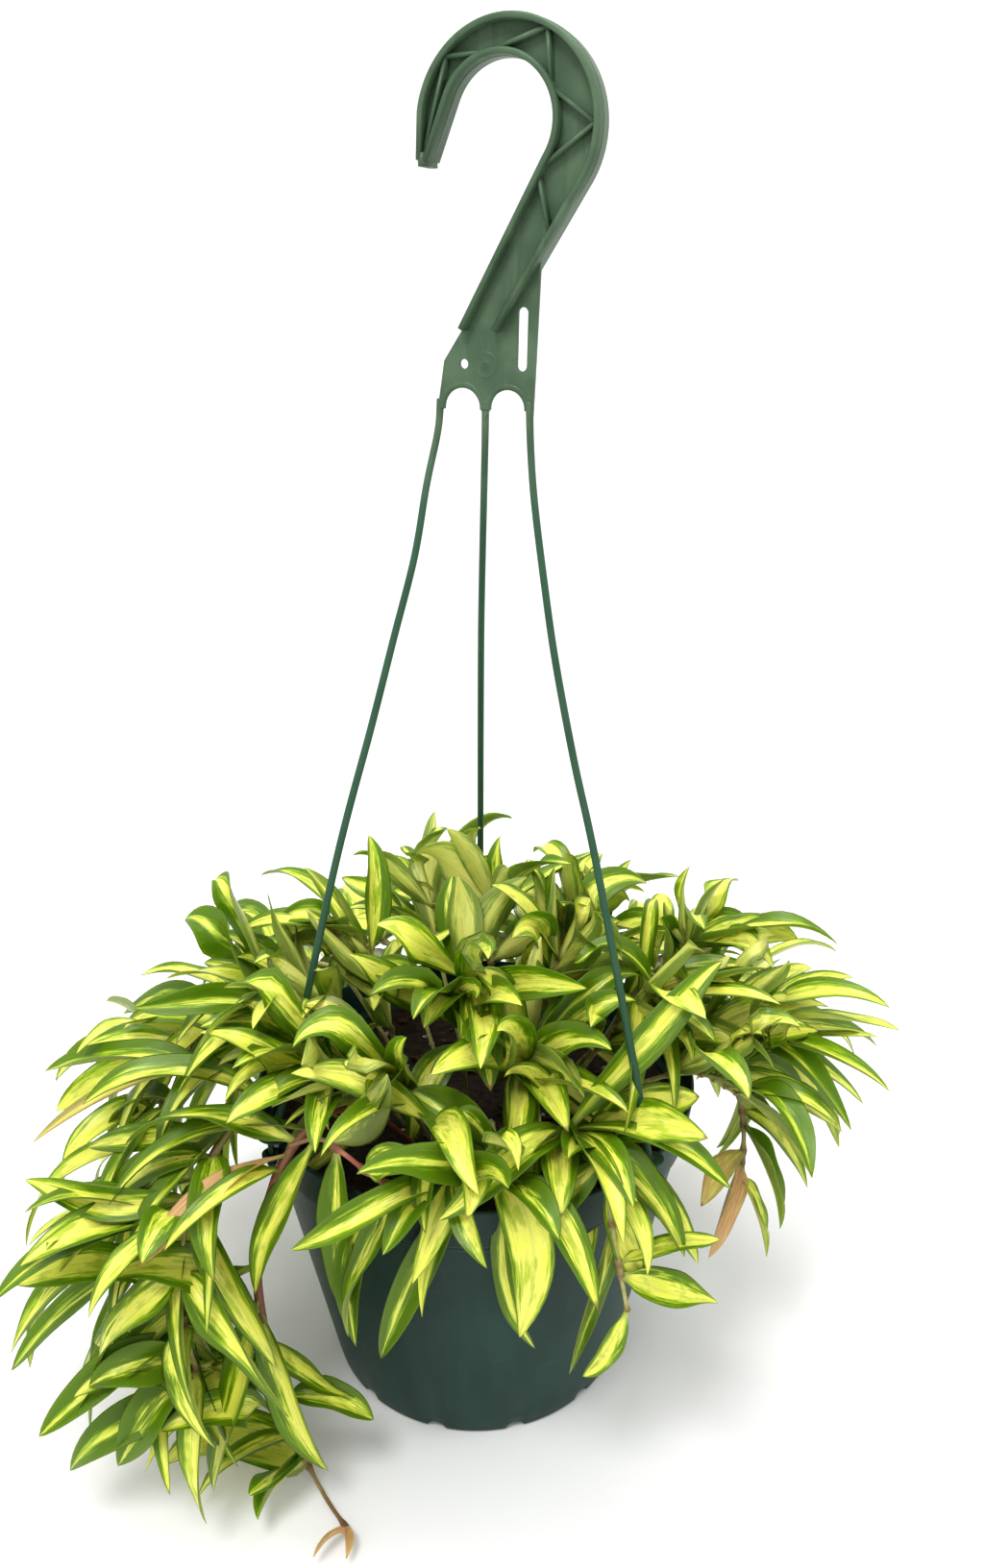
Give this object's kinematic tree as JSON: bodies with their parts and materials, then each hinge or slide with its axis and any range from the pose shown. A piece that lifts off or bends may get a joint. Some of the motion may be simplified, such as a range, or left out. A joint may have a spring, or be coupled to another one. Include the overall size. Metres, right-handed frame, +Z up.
{
  "type": "potted hoya",
  "caption": "Trailing variegated hoya in a tapered plastic hanging basket with a ribbed hook and strand hanger, standing on its foot.",
  "frame": {"origin": "centre of the underside of the pot's foot", "axes": "+Z up from the foot to the hook, -Y towards the side with the long trailing stem, +X to the right of it"},
  "size_m": [0.4249, 0.333, 0.5804],
  "materials": {
    "pot_plastic": "dark green moulded plastic with a soft sheen",
    "hanger_plastic": "green moulded plastic, smooth, with moulded ribs",
    "potting_mix": "dark damp peat mix with white perlite",
    "foliage": "fleshy waxy leaves, green margins round a cream centre, on thin tan to pink stems"
  },
  "bodies": {
    "root": {"pot": "pot_plastic", "potting_mix": "potting_mix", "hanger": "hanger_plastic", "vine_front_1": "foliage", "vine_front_2": "foliage", "vine_front_3": "foliage", "vine_front_4": "foliage", "vine_front_5": "foliage", "vine_front_6": "foliage", "vine_trailing": "foliage", "vine_left_1": "foliage", "vine_left_2": "foliage", "vine_left_3": "foliage", "vine_left_4": "foliage", "vine_left_5": "foliage", "vine_left_6": "foliage", "vine_crown_1": "foliage", "vine_crown_2": "foliage", "vine_crown_3": "foliage", "vine_crown_4": "foliage", "vine_crown_5": "foliage", "vine_crown_6": "foliage", "vine_crown_7": "foliage", "vine_right_1": "foliage", "vine_right_2": "foliage", "vine_right_3": "foliage", "vine_right_4": "foliage", "vine_right_5": "foliage", "vine_back_1": "foliage", "vine_back_2": "foliage", "vine_back_3": "foliage", "vine_back_4": "foliage", "vine_back_5": "foliage", "vine_back_6": "foliage", "vine_back_7": "foliage"}
  },
  "joints": []
}
